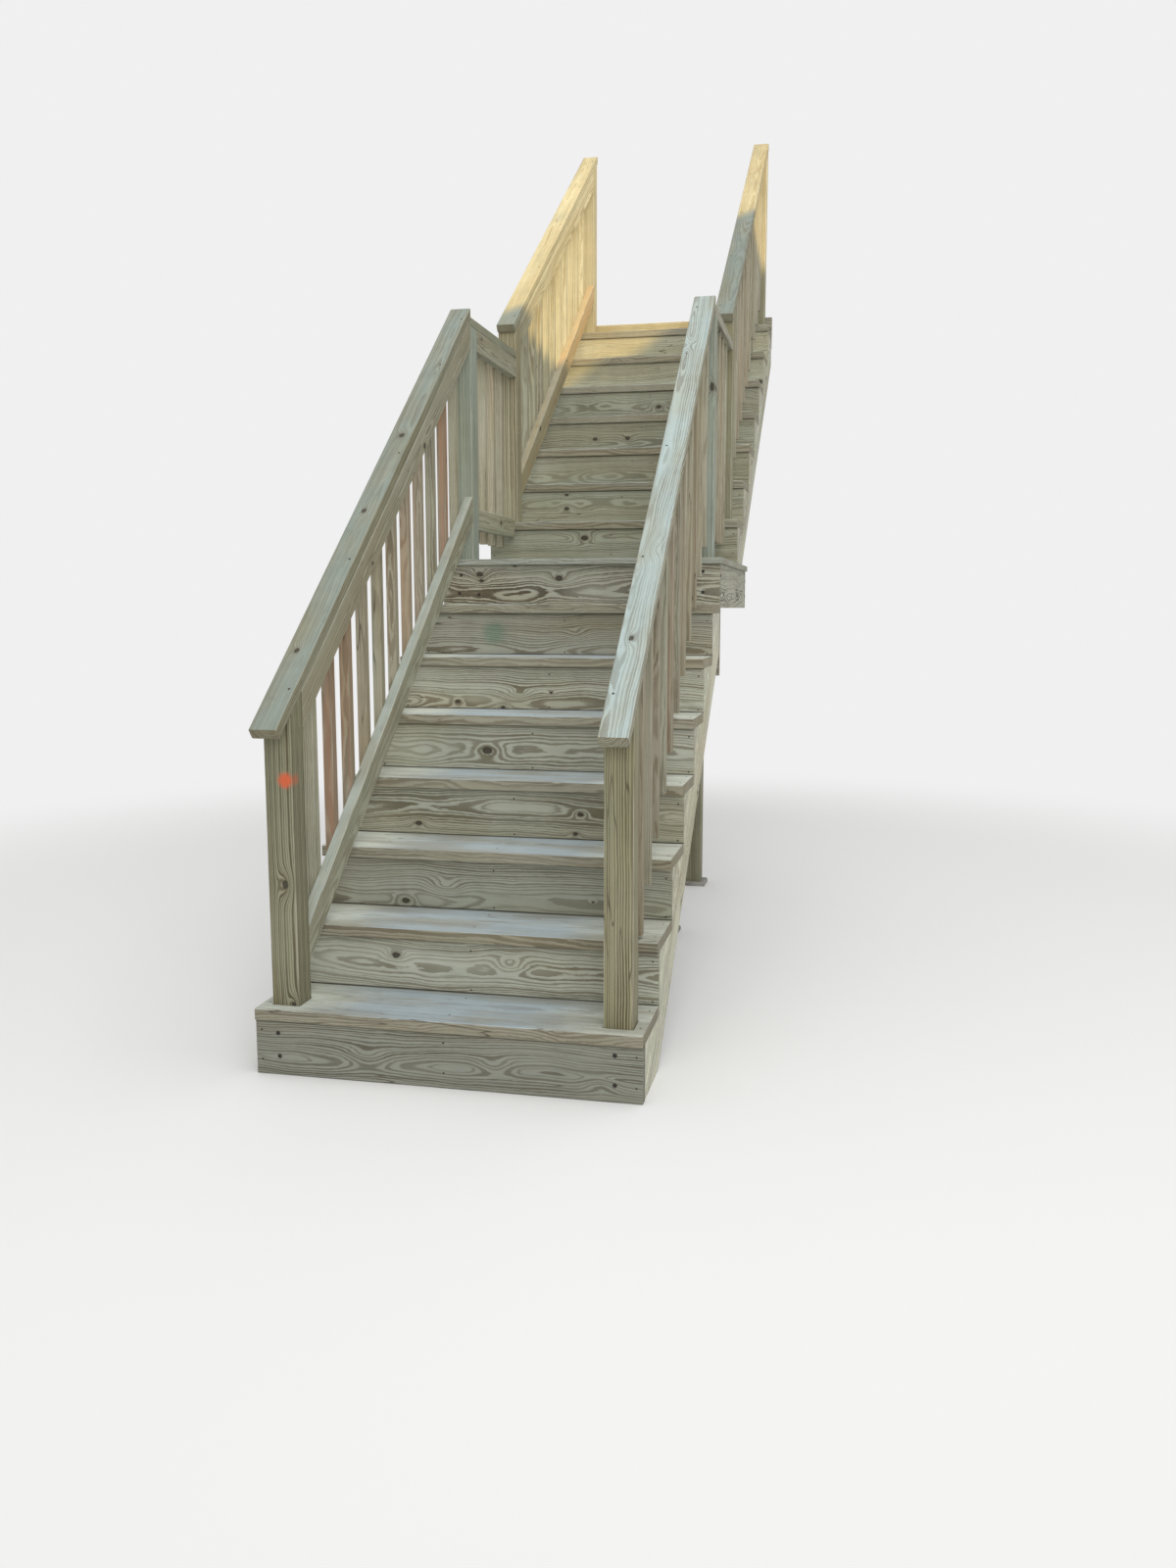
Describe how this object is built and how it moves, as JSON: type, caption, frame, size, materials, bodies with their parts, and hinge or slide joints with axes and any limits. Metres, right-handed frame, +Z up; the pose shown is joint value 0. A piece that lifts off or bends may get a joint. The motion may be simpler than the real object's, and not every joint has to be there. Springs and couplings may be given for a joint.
{
  "type": "wooden deck stairs",
  "caption": "Straight wooden outdoor stair of sawn lumber: two flights on sawtooth stringers with a framed landing between them, post-and-rail guards with balusters and flat caps.",
  "frame": {"origin": "on the ground, midway between the lower cap's front end and the ledger's back, on the stair's centre line", "axes": "+Z up, +Y up the stair from its foot to its head, +X across it to the right of a person going up"},
  "size_m": [1.24, 4.682, 4.216],
  "materials": {
    "tread_lumber": "planed treated pine with rounded nosing, unfinished",
    "riser_lumber": "rough-sawn treated pine, unfinished",
    "post_lumber": "rough-sawn treated pine, unfinished",
    "rail_lumber": "rough-sawn treated pine, unfinished",
    "cap_lumber": "planed treated pine, unfinished",
    "deck_lumber": "rough-sawn treated pine, unfinished",
    "frame_lumber": "rough-sawn treated pine, unfinished",
    "cast_concrete": "weathered cast concrete, matte"
  },
  "bodies": {
    "root": {"foot_posts": "post_lumber", "landing_cap_left": "cap_lumber", "landing_cap_right": "cap_lumber", "landing_decking": "deck_lumber", "landing_front_posts": "post_lumber", "landing_front_rim": "frame_lumber", "landing_guard_panel_left": "rail_lumber", "landing_guard_panel_right": "rail_lumber", "landing_joists": "frame_lumber", "landing_rear_posts": "post_lumber", "landing_rear_rim": "frame_lumber", "ledger_board": "frame_lumber", "lower_cap_left": "cap_lumber", "lower_cap_right": "cap_lumber", "lower_guard_panel_left": "rail_lumber", "lower_guard_panel_right": "rail_lumber", "lower_risers": "riser_lumber", "lower_stringer_left": "frame_lumber", "lower_stringer_middle": "frame_lumber", "lower_stringer_right": "frame_lumber", "lower_tread_1": "tread_lumber", "lower_tread_2": "tread_lumber", "lower_tread_3": "tread_lumber", "lower_tread_4": "tread_lumber", "lower_tread_5": "tread_lumber", "lower_tread_6": "tread_lumber", "lower_tread_7": "tread_lumber", "stringer_hanger_board": "frame_lumber", "support_blocks": "cast_concrete", "support_posts": "post_lumber", "top_posts": "post_lumber", "upper_cap_left": "cap_lumber", "upper_cap_right": "cap_lumber", "upper_guard_panel_left": "rail_lumber", "upper_guard_panel_right": "rail_lumber", "upper_risers": "riser_lumber", "upper_stringer_left": "frame_lumber", "upper_stringer_middle": "frame_lumber", "upper_stringer_right": "frame_lumber", "upper_tread_1": "tread_lumber", "upper_tread_2": "tread_lumber", "upper_tread_3": "tread_lumber", "upper_tread_4": "tread_lumber", "upper_tread_5": "tread_lumber", "upper_tread_6": "tread_lumber", "upper_tread_7": "tread_lumber"}
  },
  "joints": []
}
